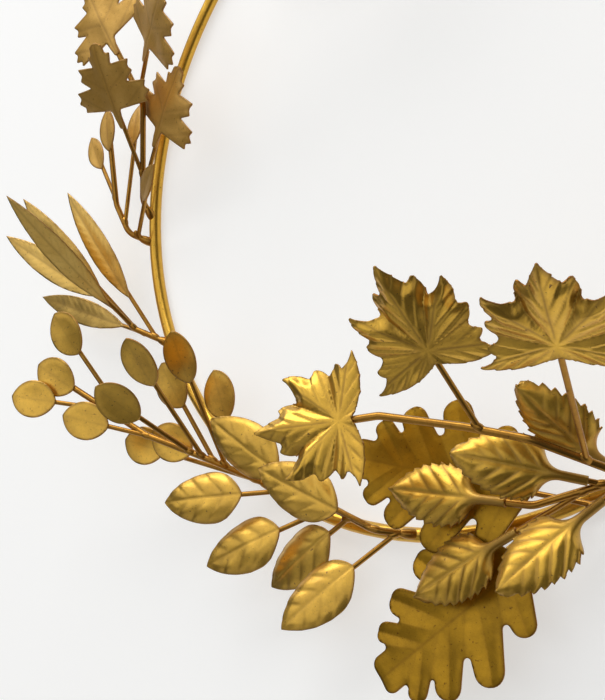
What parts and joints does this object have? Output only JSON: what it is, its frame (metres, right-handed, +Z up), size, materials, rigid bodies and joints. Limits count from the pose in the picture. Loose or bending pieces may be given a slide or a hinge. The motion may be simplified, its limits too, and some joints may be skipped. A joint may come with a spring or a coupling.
{
  "type": "candle ring",
  "caption": "Round brass hoop with wire sprigs of pressed gold leaves brazed to it, laid on a table round a pillar candle as a wreath.",
  "frame": {"origin": "on the table, under the middle of the hoop", "axes": "+Z up, along the hoop's axis; +Y points to the top of the picture; +X to its right"},
  "size_m": [0.4134, 0.3902, 0.0924],
  "materials": {
    "hoop": "satin, slightly aged",
    "wire": "satin, browned",
    "leaf": "satin antique gold"
  },
  "bodies": {
    "root": {"hoop": "hoop", "maple_stem_1": "wire", "maple_stem_2": "wire", "maple_twigs_1": "wire", "maple_twigs_2": "wire", "maple_leaves_1": "leaf", "maple_leaves_2": "leaf", "hornbeam_stem_1": "wire", "hornbeam_stem_2": "wire", "hornbeam_twigs_1": "wire", "hornbeam_twigs_2": "wire", "hornbeam_leaves_1": "leaf", "hornbeam_leaves_2": "leaf", "oak_stem_1": "wire", "oak_stem_2": "wire", "oak_twigs_1": "wire", "oak_twigs_2": "wire", "oak_leaves_1": "leaf", "oak_leaves_2": "leaf", "beech_stem_1": "wire", "beech_stem_2": "wire", "beech_twigs_1": "wire", "beech_twigs_2": "wire", "beech_leaves_1": "leaf", "beech_leaves_2": "leaf", "eucalyptus_stem_1": "wire", "eucalyptus_stem_2": "wire", "eucalyptus_twigs_1": "wire", "eucalyptus_twigs_2": "wire", "eucalyptus_leaves_1": "leaf", "eucalyptus_leaves_2": "leaf", "willow_stem_1": "wire", "willow_stem_2": "wire", "willow_twigs_1": "wire", "willow_twigs_2": "wire", "willow_leaves_1": "leaf", "willow_leaves_2": "leaf", "hawthorn_stem_1": "wire", "hawthorn_stem_2": "wire", "hawthorn_twigs_1": "wire", "hawthorn_twigs_2": "wire", "hawthorn_leaves_1": "leaf", "hawthorn_leaves_2": "leaf", "myrtle_stem_1": "wire", "myrtle_stem_2": "wire", "myrtle_twigs_1": "wire", "myrtle_twigs_2": "wire", "myrtle_leaves_1": "leaf", "myrtle_leaves_2": "leaf"}
  },
  "joints": []
}
